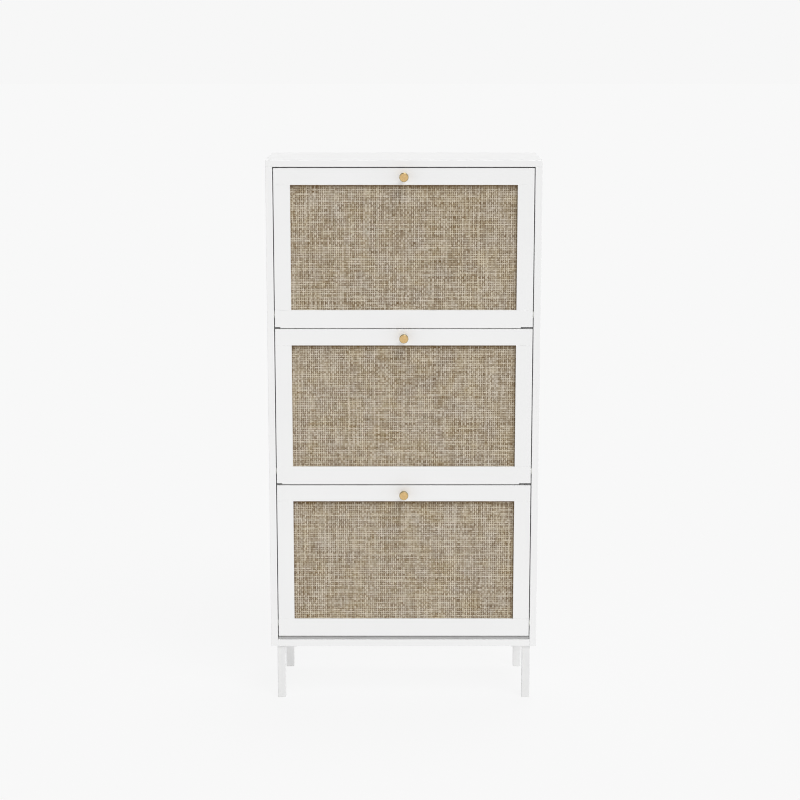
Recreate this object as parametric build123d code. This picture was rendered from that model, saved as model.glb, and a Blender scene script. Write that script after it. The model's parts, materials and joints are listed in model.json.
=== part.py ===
"""Shoe cabinet on four legs, with three tip-out flaps that are each faced with a woven panel.

All sizes are in millimetres. +X is the right-hand side as seen from the front, the front faces
-Y and +Z is up. The origin is on the floor, under the middle of the cabinet with its knobs.
A flap's sub-parts are made about its pivot axis and then lifted to the height of its flap.
"""

from build123d import *

import math
import os

# Driving dimensions of the whole cabinet.
WIDTH = 600.0
HEIGHT = 1220.0
DEPTH = 240.0
BOARD = 15.0
BACK_BOARD = 2.5
NAIL_HEAD = 0.5
LEG_HEIGHT = 123.0
KNOB_REACH = 25.0

# Driving dimensions of a flap and of the gaps around the three flaps.
FLAP_HEIGHT = 350.4
FLAP_SIDE_GAP = 2.0
GAP_UNDER_LOWER = 9.1
GAP_UNDER_MIDDLE = 2.6
GAP_UNDER_UPPER = 1.8
TOP_RAIL = 36.5
BOTTOM_RAIL = 40.0
STILE = 36.0

# The pivot lies in the middle of the flap's thickness, above its bottom edge.
PIVOT_ABOVE_EDGE = 30.0
OPENING_ANGLE = 48.0

# Where the cabinet lies in its frame. Its depth ends at the heads of the nails in the back.
FRONT_Y = KNOB_REACH / 2 - DEPTH / 2
BACK_Y = FRONT_Y + DEPTH - NAIL_HEAD
INNER_BACK_Y = BACK_Y - BACK_BOARD
INNER_X = WIDTH / 2 - BOARD
TOP_UNDERSIDE = HEIGHT - BOARD
FLOOR_BOARD_TOP = LEG_HEIGHT + BOARD
PIVOT_Y = FRONT_Y + BOARD / 2

LOWER_EDGE = FLOOR_BOARD_TOP + GAP_UNDER_LOWER
MIDDLE_EDGE = LOWER_EDGE + FLAP_HEIGHT + GAP_UNDER_MIDDLE
UPPER_EDGE = MIDDLE_EDGE + FLAP_HEIGHT + GAP_UNDER_UPPER
PIVOT_HEIGHTS = {
    "upper": UPPER_EDGE + PIVOT_ABOVE_EDGE,
    "middle": MIDDLE_EDGE + PIVOT_ABOVE_EDGE,
    "lower": LOWER_EDGE + PIVOT_ABOVE_EDGE,
}
SIDES = {"left": -1, "right": 1}

# Limits of the flap about its pivot: y to the back and z up from the pivot axis.
FLAP_X = INNER_X - FLAP_SIDE_GAP
FLAP_FRONT = -BOARD / 2
FLAP_BACK = BOARD / 2
FLAP_LOW = -PIVOT_ABOVE_EDGE
FLAP_HIGH = FLAP_LOW + FLAP_HEIGHT
OPENING_X = FLAP_X - STILE
OPENING_LOW = FLAP_LOW + BOTTOM_RAIL
OPENING_HIGH = FLAP_HIGH - TOP_RAIL

# The woven panel lies behind a thin front lip, in a rebate cut from the back of the frame.
LIP = 6.0
REBATE = 8.0
REBATE_FRONT = FLAP_FRONT + LIP
PANEL_SLACK = 0.5
CLOTH = 1.0
BACKING = 6.0

# Clearance cuts in the lower corners of the upper and the middle flap.
CORNER_CUT_HEIGHT = 2.2
CORNER_CUT_LEFT = 12.0
CORNER_CUT_RIGHT = 26.0

# Roundings of the boards' edges.
FRAME_ROUND = 0.5
BOARD_ROUND = 0.8
TOP_ROUND = 1.2

# Knob.
KNOB_RADIUS = 10.0
KNOB_FOOT_RADIUS = 6.0
KNOB_NECK_RADIUS = 5.2
KNOB_ROUND = 2.0
KNOB_RIM = 7.0
KNOB_WAIST = 4.0
KNOB_FLARE = 10.5
KNOB_FLARE_RADIUS = 6.2
KNOB_Z = (OPENING_HIGH + FLAP_HIGH) / 2
KNOB_THREAD_DEPTH = 12.0
SCREW_RADIUS = 2.0
SCREW_HEAD_RADIUS = 4.0
SCREW_HEAD = 2.5

# Plastic side brackets that carry the trays.
BRACKET = 3.0
BRACKET_INSET = 4.0
BRACKET_X = FLAP_X - BRACKET_INSET
BRACKET_RADIUS = 222.0
BRACKET_LOW = -6.0
BRACKET_HIGH = 210.0
BRACKET_END_ANGLE = 54.0
BRACKET_START_ANGLE = 3.0
BRACKET_FLANGE = 18.0
RIB = 2.0
RIB_HEIGHT = 4.0
WINDOW_ROUND = 6.0
LOW_WINDOW = (40.0, 76.0, 27.0, 68.0)
WIDE_WINDOW = (108.0, 204.0, 14.0, 34.0)
BRACKET_SCREW_HEIGHTS = (45.0, 120.0, 190.0)

# Trays, from their edge near the flap to their edge near the back.
TRAY = 5.0
TRAY_ROUND = 1.5
TRAY_LINES = {
    "lower_tray": ((11.0, 5.3), (205.0, 25.0)),
    "upper_tray": ((11.0, 150.3), (146.0, 164.0)),
}
CHANNEL = 8.0
CHANNEL_START = 1.0

# A fixed pin runs in an arc slot of each bracket and stops the flap at both ends.
STOP_RADIUS = 90.0
STOP_ANGLE = 75.0
STOP_PIN_RADIUS = 3.0
STOP_SLOT_WIDTH = 7.0
STOP_PIN_DEPTH = 10.0
STOP_HEAD_RADIUS = 5.0
STOP_HEAD = 2.0
STOP_HEAD_GAP = 1.5
STOP_HEAD_X = BRACKET_X - STOP_HEAD_GAP - STOP_HEAD

# Pivot pins in the bottom rail turn in flanged bushes in the side panels.
PIN_RADIUS = 4.0
PIN_CLEARANCE = 0.05
PIN_IN_RAIL = 25.0
PIN_END_X = INNER_X + 9.0
BUSH_RADIUS = 6.0
BUSH_DEPTH = 11.0
BUSH_BORE_DEPTH = 10.0
BUSH_FLANGE_RADIUS = 8.0
BUSH_FLANGE = 1.0

# Rails across the back.
RAIL_HEIGHT = 60.0
RAIL_ABOVE_PIVOT = 275.0
WALL_HOLE_RADIUS = 2.5
WALL_HOLE_X = 220.0
WALL_HOLE_Z = TOP_UNDERSIDE - RAIL_HEIGHT / 2

# The thin back and the nails around it and along the divider rails.
BACK_INSET = 3.0
NAIL_RADIUS = 0.7
NAIL_HEAD_RADIUS = 2.4
NAIL_HEAD_ROUND = 0.3
NAIL_LENGTH = 14.0
NAIL_COLUMN_GAPS = 6
NAIL_ROW_GAPS = 10

# Legs of square tube, each with a mounting plate and a plastic glide.
LEG = 18.0
LEG_WALL = 1.5
LEG_ROUND = 1.5
FRONT_LEG_INSET_X = 13.5
REAR_LEG_INSET_X = 20.6
FRONT_LEG_INSET_Y = 3.0
LEG_PLATE = 44.0
LEG_PLATE_THICKNESS = 2.0
GLIDE = 3.0
GLIDE_PLUG = 10.0
PLATE_HOLE_INSET = 8.0

# Cam fittings that hold the boards together.
CAM_RADIUS = 7.5
CAM_DEPTH = 12.5
CAM_INSET = 24.0
CAM_BOLT_RADIUS = 2.5
CAM_BOLT_HEAD_RADIUS = 3.5
CAM_BOLT_HEAD = 4.0
CAM_BOLT_THREAD = 10.0
TOP_CAM_Y = (-70.0, 95.0)
BOTTOM_CAM_Y = (-35.0, 70.0)

# Countersunk wood screws.
WOOD_SCREW_RADIUS = 1.75
WOOD_SCREW_HEAD_RADIUS = 3.5
WOOD_SCREW_HEAD = 2.0
BRACKET_SCREW_LENGTH = 15.0
LEG_SCREW_LENGTH = 13.0
CROSS_LENGTH = 4.0
CROSS_WIDTH = 0.9
CROSS_DEPTH = 1.2


def block(x, y, z):
    """A rectangular block between two limits on each axis."""
    size = (abs(x[1] - x[0]), abs(y[1] - y[0]), abs(z[1] - z[0]))
    return Pos(sum(x) / 2, sum(y) / 2, sum(z) / 2) * Box(*size)


def rod(start, direction, length, radius):
    """A round rod from its start point along a direction."""
    base = Plane(origin=start, z_dir=direction)
    return base * Cylinder(radius, length, align=(Align.CENTER, Align.CENTER, Align.MIN))


def joined(solids):
    """Separate solids as one sub-part."""
    return Part() + list(solids)


def rounded_front(board, radius):
    """A board with the edges of its front face rounded."""
    return fillet(board.faces().sort_by(Axis.Y)[0].edges(), radius)


def cross_recess(place):
    """The cross-shaped recess in the head of a screw."""
    low = (Align.CENTER, Align.CENTER, Align.MAX)
    return place * (
        Box(CROSS_LENGTH, CROSS_WIDTH, CROSS_DEPTH, align=low)
        + Box(CROSS_WIDTH, CROSS_LENGTH, CROSS_DEPTH, align=low)
    )


def wood_screw(head, outward, length):
    """A countersunk screw without its recess, from the middle of its flush head."""
    place = Plane(origin=head, z_dir=outward)
    low = (Align.CENTER, Align.CENTER, Align.MAX)
    cone = Cone(WOOD_SCREW_RADIUS, WOOD_SCREW_HEAD_RADIUS, WOOD_SCREW_HEAD, align=low)
    return place * (cone + Cylinder(WOOD_SCREW_RADIUS, length, align=low))


def wood_screws(places, length):
    """Countersunk screws with their recesses, one at each (head, outward) place."""
    return joined(
        wood_screw(head, outward, length) - cross_recess(Plane(origin=head, z_dir=outward))
        for head, outward in places
    )


# Flap frame, panel and knob, about the pivot axis.


def frame_member(x, z):
    """One board of a flap's frame, with the rebate for the woven panel cut from its back."""
    half = OPENING_X + REBATE
    height = (OPENING_LOW - REBATE, OPENING_HIGH + REBATE)
    rebate = block((-half, half), (REBATE_FRONT, FLAP_BACK), height)
    board = block(x, (FLAP_FRONT, FLAP_BACK), z)
    return rounded_front(board, FRAME_ROUND) - rebate


def top_rail():
    """The flap's top rail, bored for the knob's screw."""
    rail = frame_member((-FLAP_X, FLAP_X), (OPENING_HIGH, FLAP_HIGH))
    return rail - rod((0, FLAP_FRONT, KNOB_Z), (0, 1, 0), BOARD, SCREW_RADIUS)


def bottom_rail(corner_cuts):
    """The flap's bottom rail, bored at both ends for the pivot pins."""
    rail = frame_member((-FLAP_X, FLAP_X), (FLAP_LOW, OPENING_LOW)) - pivot_pins()
    if not corner_cuts:
        return rail
    depth = (FLAP_FRONT, FLAP_BACK)
    height = (FLAP_LOW, FLAP_LOW + CORNER_CUT_HEIGHT)
    rail -= block((-FLAP_X, CORNER_CUT_LEFT - FLAP_X), depth, height)
    return rail - block((FLAP_X - CORNER_CUT_RIGHT, FLAP_X), depth, height)


def stile(side):
    """One upright of the flap's frame, with its bracket's screw holes."""
    upright = frame_member((side * OPENING_X, side * FLAP_X), (OPENING_LOW, OPENING_HIGH))
    for head, outward in bracket_screw_places(side):
        upright -= wood_screw(head, outward, BRACKET_SCREW_LENGTH)
    return upright


def panel_sheet(front, thickness):
    """A sheet that fills the rebate's outline."""
    half = OPENING_X + REBATE - PANEL_SLACK
    low = OPENING_LOW - REBATE + PANEL_SLACK
    high = OPENING_HIGH + REBATE - PANEL_SLACK
    return block((-half, half), (front, front + thickness), (low, high))


def woven_panel():
    """The woven cloth that fills the frame's opening."""
    return panel_sheet(REBATE_FRONT, CLOTH)


def backing_board():
    """The board behind the woven cloth."""
    return panel_sheet(REBATE_FRONT + CLOTH, BACKING)


def knob():
    """The turned knob: a waisted neck that flares to a flat round front, bored for its screw."""
    foot = (KNOB_FOOT_RADIUS, 0)
    waist = (KNOB_NECK_RADIUS, -KNOB_WAIST)
    flare_middle = (KNOB_FLARE_RADIUS, -KNOB_FLARE)
    rim_back = (KNOB_RADIUS, KNOB_RIM - KNOB_REACH)
    rim_front = (KNOB_RADIUS, -KNOB_REACH)
    outline = (
        Line((0, 0), foot)
        + Line(foot, waist)
        + ThreePointArc(waist, flare_middle, rim_back)
        + Line(rim_back, rim_front)
        + Line(rim_front, (0, -KNOB_REACH))
        + Line((0, -KNOB_REACH), (0, 0))
    )
    body = revolve(make_face(outline), Axis.Y)
    body = fillet(body.edges().sort_by(Axis.Y)[0], KNOB_ROUND)
    bore = rod((0, 0, 0), (0, -1, 0), KNOB_THREAD_DEPTH, SCREW_RADIUS)
    return Pos(0, FLAP_FRONT, KNOB_Z) * (body - bore)


def knob_screw():
    """The pan-head machine screw that holds the knob from behind the top rail."""
    back = (0, FLAP_BACK, KNOB_Z)
    shank = rod(back, (0, -1, 0), BOARD + KNOB_THREAD_DEPTH, SCREW_RADIUS)
    head = rod(back, (0, 1, 0), SCREW_HEAD, SCREW_HEAD_RADIUS)
    head = fillet(head.edges().sort_by(Axis.Y)[-1], SCREW_HEAD / 2)
    recess = cross_recess(Plane(origin=(0, FLAP_BACK + SCREW_HEAD, KNOB_Z), z_dir=(0, 1, 0)))
    return shank + head - recess


def pivot_pins():
    """The two steel pins pressed into the ends of the bottom rail."""
    length = PIN_END_X - FLAP_X + PIN_IN_RAIL
    start = FLAP_X - PIN_IN_RAIL
    return joined(rod((s * start, 0, 0), (s, 0, 0), length, PIN_RADIUS) for s in (-1, 1))


# Brackets and trays, about the pivot axis.


def polar(radius, angle):
    """The (y, z) point at an angle in degrees above the line that runs straight back."""
    turn = math.radians(angle)
    return (radius * math.cos(turn), radius * math.sin(turn))


def sector(inner, outer, start, end):
    """A ring sector between two radii and two angles, with rounded corners."""
    sweep = end - start
    outline = (
        CenterArc((0, 0), inner, start, sweep)
        + CenterArc((0, 0), outer, start, sweep)
        + Line(polar(inner, start), polar(outer, start))
        + Line(polar(inner, end), polar(outer, end))
    )
    face = make_face(outline)
    return fillet(face.vertices(), WINDOW_ROUND)


def fan_outline():
    """The fan-shaped outline of a bracket."""
    foot = (FLAP_BACK, BRACKET_LOW)
    head = (FLAP_BACK, BRACKET_HIGH)
    tail = polar(BRACKET_RADIUS, BRACKET_START_ANGLE)
    shoulder = polar(BRACKET_RADIUS, BRACKET_END_ANGLE)
    sweep = BRACKET_END_ANGLE - BRACKET_START_ANGLE
    return make_face(
        Line(foot, tail)
        + CenterArc((0, 0), BRACKET_RADIUS, BRACKET_START_ANGLE, sweep)
        + Line(shoulder, head)
        + Line(head, foot)
    )


def tray_place(name):
    """(the frame at a tray's near edge, the tray's length), with the tray along the frame's y."""
    (y0, z0), (y1, z1) = TRAY_LINES[name]
    slope = math.degrees(math.atan2(z1 - z0, y1 - y0))
    return Pos(0, y0, z0) * Rot(slope, 0, 0), math.hypot(y1 - y0, z1 - z0)


def tray(name):
    """A board that the shoes stand on, held between the two brackets."""
    place, length = tray_place(name)
    board = Box(2 * BRACKET_X, length, TRAY, align=(Align.CENTER, Align.MIN, Align.CENTER))
    long_edges = board.edges().filter_by(Axis.X)
    return place * fillet(long_edges, TRAY_ROUND)


def tray_channel(name):
    """The lips on a bracket that hold one end of a tray."""
    place, length = tray_place(name)
    lips = Box(
        CHANNEL,
        length + CHANNEL_START + RIB,
        TRAY + 2 * RIB,
        align=(Align.MAX, Align.MIN, Align.CENTER),
    )
    return place * Pos(BRACKET_X, -CHANNEL_START, 0) * lips - tray(name)


def bracket_screw_places(side):
    """(head, outward) of the screws that hold one bracket to its stile."""
    x = side * (BRACKET_X - BRACKET_FLANGE / 2)
    return [((x, FLAP_BACK + BRACKET, z), (0, 1, 0)) for z in BRACKET_SCREW_HEIGHTS]


def bracket(side):
    """A plastic side bracket: a ribbed fan plate, a screwed flange and two tray channels."""
    outline = fan_outline()
    windows = [sector(*LOW_WINDOW), sector(*WIDE_WINDOW)]
    plate_face = outline
    rib_face = outline - offset(outline, amount=-RIB)
    for window in windows:
        plate_face -= window
        rib_face += offset(window, amount=RIB) - window
    stop_arc = CenterArc((0, 0), STOP_RADIUS, STOP_ANGLE - OPENING_ANGLE, OPENING_ANGLE)
    plate_face -= SlotArc(stop_arc, STOP_SLOT_WIDTH)
    plate = extrude(Plane.YZ.offset(BRACKET_X) * plate_face, amount=BRACKET)
    ribs = extrude(Plane.YZ.offset(BRACKET_X - RIB_HEIGHT) * rib_face, amount=RIB_HEIGHT)
    flange = block(
        (BRACKET_X - BRACKET_FLANGE, BRACKET_X),
        (FLAP_BACK, FLAP_BACK + BRACKET),
        (BRACKET_LOW, BRACKET_HIGH),
    )
    shape = plate + ribs + flange
    for name in TRAY_LINES:
        shape += tray_channel(name)
    for name in TRAY_LINES:
        shape -= tray(name)
    for head, outward in bracket_screw_places(SIDES["right"]):
        shape -= wood_screw(head, outward, BRACKET_SCREW_LENGTH)
    return shape if side > 0 else mirror(shape, about=Plane.YZ)


def bracket_screws():
    """The screws that hold both brackets of a flap."""
    places = bracket_screw_places(-1) + bracket_screw_places(1)
    return wood_screws(places, BRACKET_SCREW_LENGTH)


def flap_parts(flap):
    """Every sub-part of one flap, by node name, in its closed place."""
    parts = {
        "top_rail": top_rail(),
        "bottom_rail": bottom_rail(corner_cuts=flap != "lower"),
        "left_stile": stile(SIDES["left"]),
        "right_stile": stile(SIDES["right"]),
        "woven_panel": woven_panel(),
        "backing_board": backing_board(),
        "knob": knob(),
        "knob_screw": knob_screw(),
        "pivot_pins": pivot_pins(),
        "left_bracket": bracket(SIDES["left"]),
        "right_bracket": bracket(SIDES["right"]),
        "bracket_screws": bracket_screws(),
        "lower_tray": tray("lower_tray"),
        "upper_tray": tray("upper_tray"),
    }
    place = Pos(0, PIVOT_Y, PIVOT_HEIGHTS[flap])
    return {f"{flap}_{piece}": place * shape for piece, shape in parts.items()}


# Fittings of the cabinet.


def pivot_bushes():
    """Flanged plastic bushes for the pivot pins, two for each flap."""
    bushes = []
    for height in PIVOT_HEIGHTS.values():
        for s in SIDES.values():
            mouth = (s * (INNER_X - BUSH_FLANGE), PIVOT_Y, height)
            flange = rod(mouth, (s, 0, 0), BUSH_FLANGE, BUSH_FLANGE_RADIUS)
            body = rod(mouth, (s, 0, 0), BUSH_FLANGE + BUSH_DEPTH, BUSH_RADIUS)
            bore = rod(mouth, (s, 0, 0), BUSH_FLANGE + BUSH_BORE_DEPTH, PIN_RADIUS + PIN_CLEARANCE)
            bushes.append(flange + body - bore)
    return joined(bushes)


def stop_pins():
    """Headed steel pins that run in the arc slots of the brackets, two for each flap."""
    y, z = polar(STOP_RADIUS, STOP_ANGLE)
    pins = []
    for height in PIVOT_HEIGHTS.values():
        for s in SIDES.values():
            start = (s * STOP_HEAD_X, PIVOT_Y + y, height + z)
            length = INNER_X + STOP_PIN_DEPTH - STOP_HEAD_X
            head = rod(start, (s, 0, 0), STOP_HEAD, STOP_HEAD_RADIUS)
            pins.append(head + rod(start, (s, 0, 0), length, STOP_PIN_RADIUS))
    return joined(pins)


def rail_lows():
    """The height of the lower edge of each rail across the back, by node name."""
    return {
        "hanging_rail": TOP_UNDERSIDE - RAIL_HEIGHT,
        "upper_divider_rail": PIVOT_HEIGHTS["middle"] + RAIL_ABOVE_PIVOT,
        "lower_divider_rail": PIVOT_HEIGHTS["lower"] + RAIL_ABOVE_PIVOT,
    }


def cam_places():
    """(middle of the cam's face, into the board, towards the bolt) of each cam fitting."""
    places = []
    for s in SIDES.values():
        for y in TOP_CAM_Y:
            places.append(((s * INNER_X, y, TOP_UNDERSIDE - CAM_INSET), (s, 0, 0), (0, 0, 1)))
        for y in BOTTOM_CAM_Y:
            places.append(((s * (INNER_X - CAM_INSET), y, LEG_HEIGHT), (0, 0, 1), (s, 0, 0)))
        for low in rail_lows().values():
            face = (s * (INNER_X - CAM_INSET), INNER_BACK_Y, low + RAIL_HEIGHT / 2)
            places.append((face, (0, -1, 0), (s, 0, 0)))
    return places


def cam_axis_point(face, into):
    """The point of the cam's axis that lies in the middle of the board's thickness."""
    return tuple(f + i * BOARD / 2 for f, i in zip(face, into))


def cam_bolt(face, into, along):
    """One cam bolt, with its head in the cam and its thread in the next board."""
    head_start = Vector(*cam_axis_point(face, into)) - Vector(*along) * CAM_BOLT_HEAD / 2
    head = rod(head_start, along, CAM_BOLT_HEAD, CAM_BOLT_HEAD_RADIUS)
    length = CAM_INSET + CAM_BOLT_HEAD / 2 + CAM_BOLT_THREAD
    return head + rod(head_start, along, length, CAM_BOLT_RADIUS)


def cam_bolts():
    """Every cam bolt of the cabinet."""
    return joined(cam_bolt(*place) for place in cam_places())


def cam_lock(face, into, along):
    """One cam disc with a screwdriver slot, hollowed for its bolt's head."""
    disc = rod(face, into, CAM_DEPTH, CAM_RADIUS)
    outward = tuple(-i for i in into)
    shape = disc - cross_recess(Plane(origin=face, z_dir=outward))
    return shape - cam_bolt(face, into, along)


def cam_locks():
    """Every cam disc of the cabinet."""
    return joined(cam_lock(*place) for place in cam_places())


def bored_for_cams(board):
    """A board with the bores for the cams, their bolts and the bolts' threads."""
    for face, into, along in cam_places():
        axis_point = cam_axis_point(face, into)
        board -= rod(face, into, CAM_DEPTH, CAM_RADIUS)
        board -= rod(axis_point, along, CAM_INSET, CAM_BOLT_HEAD_RADIUS)
        board -= cam_bolt(face, into, along)
    return board


# Boards of the cabinet.


def nail_places():
    """(x, z) of each nail around the outline of the back and along the divider rails."""
    across = WIDTH / 2 - BOARD / 2
    low, high = LEG_HEIGHT + BOARD / 2, HEIGHT - BOARD / 2
    columns = [across * (2 * i / NAIL_COLUMN_GAPS - 1) for i in range(NAIL_COLUMN_GAPS + 1)]
    rows = [low + (high - low) * i / NAIL_ROW_GAPS for i in range(1, NAIL_ROW_GAPS)]
    rails = [rail_lows()[f"{name}_divider_rail"] + RAIL_HEIGHT / 2 for name in ("upper", "lower")]
    places = [(x, z) for x in columns for z in (low, high)]
    places += [(x, z) for x in (-across, across) for z in rows]
    return places + [(x, z) for x in columns[1:-1] for z in rails]


def nail_shanks():
    """The shanks of the nails, from the outer face of the back."""
    back = [(x, BACK_Y, z) for x, z in nail_places()]
    return joined(rod(place, (0, -1, 0), NAIL_LENGTH, NAIL_RADIUS) for place in back)


def back_nails():
    """The flat-headed nails that hold the thin back."""
    head = rod((0, BACK_Y, 0), (0, 1, 0), NAIL_HEAD, NAIL_HEAD_RADIUS)
    head = fillet(head.edges().sort_by(Axis.Y)[-1], NAIL_HEAD_ROUND)
    nail = head + rod((0, BACK_Y, 0), (0, -1, 0), NAIL_LENGTH, NAIL_RADIUS)
    return joined(Pos(x, 0, z) * nail for x, z in nail_places())


def top_panel():
    """The top board, which lies over both side panels."""
    x = (-WIDTH / 2, WIDTH / 2)
    board = block(x, (FRONT_Y, INNER_BACK_Y), (TOP_UNDERSIDE, HEIGHT))
    return bored_for_cams(fillet(board.edges(), TOP_ROUND)) - nail_shanks()


def side_panel(side):
    """One side panel, bored for the bushes and the stop pins."""
    x = (side * INNER_X, side * WIDTH / 2)
    board = block(x, (FRONT_Y, INNER_BACK_Y), (LEG_HEIGHT, TOP_UNDERSIDE))
    board = bored_for_cams(rounded_front(board, BOARD_ROUND)) - nail_shanks()
    y, z = polar(STOP_RADIUS, STOP_ANGLE)
    for height in PIVOT_HEIGHTS.values():
        pivot = (side * INNER_X, PIVOT_Y, height)
        stop = (side * INNER_X, PIVOT_Y + y, height + z)
        board -= rod(pivot, (side, 0, 0), BUSH_DEPTH, BUSH_RADIUS)
        board -= rod(stop, (side, 0, 0), STOP_PIN_DEPTH, STOP_PIN_RADIUS)
    return board


def bottom_panel():
    """The bottom board, between the side panels, with the legs' screw holes."""
    board = block((-INNER_X, INNER_X), (FRONT_Y, INNER_BACK_Y), (LEG_HEIGHT, FLOOR_BOARD_TOP))
    board = bored_for_cams(rounded_front(board, BOARD_ROUND)) - nail_shanks()
    for head, outward in leg_screw_places():
        board -= wood_screw(head, outward, LEG_SCREW_LENGTH)
    return board


def wall_holes():
    """The two holes through which the cabinet is screwed to a wall."""
    depth = BOARD + BACK_BOARD
    start_y = INNER_BACK_Y - BOARD
    return joined(
        rod((s * WALL_HOLE_X, start_y, WALL_HOLE_Z), (0, 1, 0), depth, WALL_HOLE_RADIUS)
        for s in (-1, 1)
    )


def back_panel():
    """The thin back, set in a little from the outer edges of the boards it closes."""
    x = (BACK_INSET - WIDTH / 2, WIDTH / 2 - BACK_INSET)
    z = (LEG_HEIGHT + BACK_INSET, HEIGHT - BACK_INSET)
    return block(x, (INNER_BACK_Y, BACK_Y), z) - wall_holes() - nail_shanks()


def back_rail(name):
    """A rail across the back. The hanging rail has the wall holes, the others nail holes."""
    low = rail_lows()[name]
    y = (INNER_BACK_Y - BOARD, INNER_BACK_Y)
    rail = bored_for_cams(block((-INNER_X, INNER_X), y, (low, low + RAIL_HEIGHT)))
    return rail - wall_holes() if name == "hanging_rail" else rail - nail_shanks()


# Legs.


def leg_corners():
    """(outer corner, direction inwards on x, direction inwards on y) of each leg, by name."""
    front_x = WIDTH / 2 - FRONT_LEG_INSET_X
    rear_x = WIDTH / 2 - REAR_LEG_INSET_X
    corners = {}
    for side, s in SIDES.items():
        corners[f"front_{side}"] = ((s * front_x, FRONT_Y + FRONT_LEG_INSET_Y), -s, 1)
        corners[f"rear_{side}"] = ((s * rear_x, INNER_BACK_Y), -s, -1)
    return corners


def leg_screw_places():
    """(head, outward) of the three screws in each leg's mounting plate."""
    near, far = PLATE_HOLE_INSET, LEG_PLATE - PLATE_HOLE_INSET
    z = LEG_HEIGHT - LEG_PLATE_THICKNESS
    places = []
    for (x, y), dx, dy in leg_corners().values():
        for a, b in ((far, near), (far, far), (near, far)):
            places.append(((x + dx * a, y + dy * b, z), (0, 0, -1)))
    return places


def leg(corner, dx, dy):
    """A square tube leg under a welded mounting plate."""
    x, y = corner
    plate_bottom = LEG_HEIGHT - LEG_PLATE_THICKNESS
    tube = block((x, x + dx * LEG), (y, y + dy * LEG), (GLIDE, plate_bottom))
    tube = fillet(tube.edges().filter_by(Axis.Z), LEG_ROUND)
    inner = (LEG_WALL, LEG - LEG_WALL)
    tube -= block([x + dx * a for a in inner], [y + dy * b for b in inner], (GLIDE, plate_bottom))
    plate = block((x, x + dx * LEG_PLATE), (y, y + dy * LEG_PLATE), (plate_bottom, LEG_HEIGHT))
    plate = fillet(plate.edges().filter_by(Axis.Z), LEG_ROUND)
    shape = tube + plate
    for head, outward in leg_screw_places():
        shape -= wood_screw(head, outward, LEG_SCREW_LENGTH)
    return shape


def leg_screws():
    """The screws that hold the mounting plates."""
    return wood_screws(leg_screw_places(), LEG_SCREW_LENGTH)


def case_fasteners():
    """The screws of the legs and the nails of the back, as one sub-part."""
    return joined(leg_screws().solids() + back_nails().solids())


def leg_glides():
    """The plastic glides plugged into the legs."""
    glides = []
    for (x, y), dx, dy in leg_corners().values():
        foot = block((x, x + dx * LEG), (y, y + dy * LEG), (0, GLIDE))
        foot = fillet(foot.edges().filter_by(Axis.Z), LEG_ROUND)
        inner = (LEG_WALL, LEG - LEG_WALL)
        plug_top = GLIDE + GLIDE_PLUG
        plug = block([x + dx * a for a in inner], [y + dy * b for b in inner], (GLIDE, plug_top))
        glides.append(foot + plug)
    return joined(glides)


def cabinet_parts():
    """Every sub-part of the standing cabinet, by node name."""
    parts = {
        "top_panel": top_panel(),
        "left_side_panel": side_panel(SIDES["left"]),
        "right_side_panel": side_panel(SIDES["right"]),
        "bottom_panel": bottom_panel(),
        "back_panel": back_panel(),
        "case_fasteners": case_fasteners(),
        "leg_glides": leg_glides(),
        "pivot_bushes": pivot_bushes(),
        "stop_pins": stop_pins(),
        "cam_locks": cam_locks(),
        "cam_bolts": cam_bolts(),
    }
    for name in rail_lows():
        parts[name] = back_rail(name)
    for name, (corner, dx, dy) in leg_corners().items():
        parts[f"{name}_leg"] = leg(corner, dx, dy)
    return parts


def main():
    """Writes every sub-part to its own file."""
    os.makedirs("parts", exist_ok=True)
    parts = cabinet_parts()
    for flap in PIVOT_HEIGHTS:
        parts.update(flap_parts(flap))
    for name, shape in parts.items():
        export_step(shape, f"parts/{name}.step")


if __name__ == "__main__":
    main()
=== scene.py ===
"""Looks of a shoe cabinet with three tip-out flaps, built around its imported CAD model.

Everything is in metres in the CAD model's frame: +X is the cabinet's right-hand side as seen
from the front, the front faces -Y and +Z is up. The CAD boards, legs, fittings and knobs stay
and are dressed here. The plain cloth of each flap is replaced by woven threads.
"""

from __future__ import annotations

import json
import logging
import math
from dataclasses import dataclass, field
from enum import Enum

import bpy
import numpy as np
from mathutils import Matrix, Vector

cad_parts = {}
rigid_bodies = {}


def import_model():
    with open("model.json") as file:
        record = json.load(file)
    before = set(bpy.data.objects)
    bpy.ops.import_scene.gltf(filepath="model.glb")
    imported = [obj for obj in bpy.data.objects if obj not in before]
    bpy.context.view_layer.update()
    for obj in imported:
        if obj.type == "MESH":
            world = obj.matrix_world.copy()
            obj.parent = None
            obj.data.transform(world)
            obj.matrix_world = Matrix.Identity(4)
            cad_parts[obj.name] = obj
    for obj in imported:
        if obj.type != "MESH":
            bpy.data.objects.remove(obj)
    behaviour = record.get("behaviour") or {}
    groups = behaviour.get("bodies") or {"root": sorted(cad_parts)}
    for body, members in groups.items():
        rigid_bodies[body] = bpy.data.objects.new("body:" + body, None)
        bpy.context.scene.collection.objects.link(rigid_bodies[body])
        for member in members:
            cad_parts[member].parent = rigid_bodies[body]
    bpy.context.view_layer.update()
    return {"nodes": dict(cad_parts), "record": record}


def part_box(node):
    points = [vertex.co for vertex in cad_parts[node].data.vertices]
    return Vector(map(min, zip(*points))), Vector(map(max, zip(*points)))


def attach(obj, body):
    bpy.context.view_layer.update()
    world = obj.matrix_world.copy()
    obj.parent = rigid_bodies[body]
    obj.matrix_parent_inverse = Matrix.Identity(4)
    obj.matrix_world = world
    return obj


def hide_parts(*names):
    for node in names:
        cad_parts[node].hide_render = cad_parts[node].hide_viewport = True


LOG = logging.getLogger("shoe_cabinet")
MM = 0.001
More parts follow.
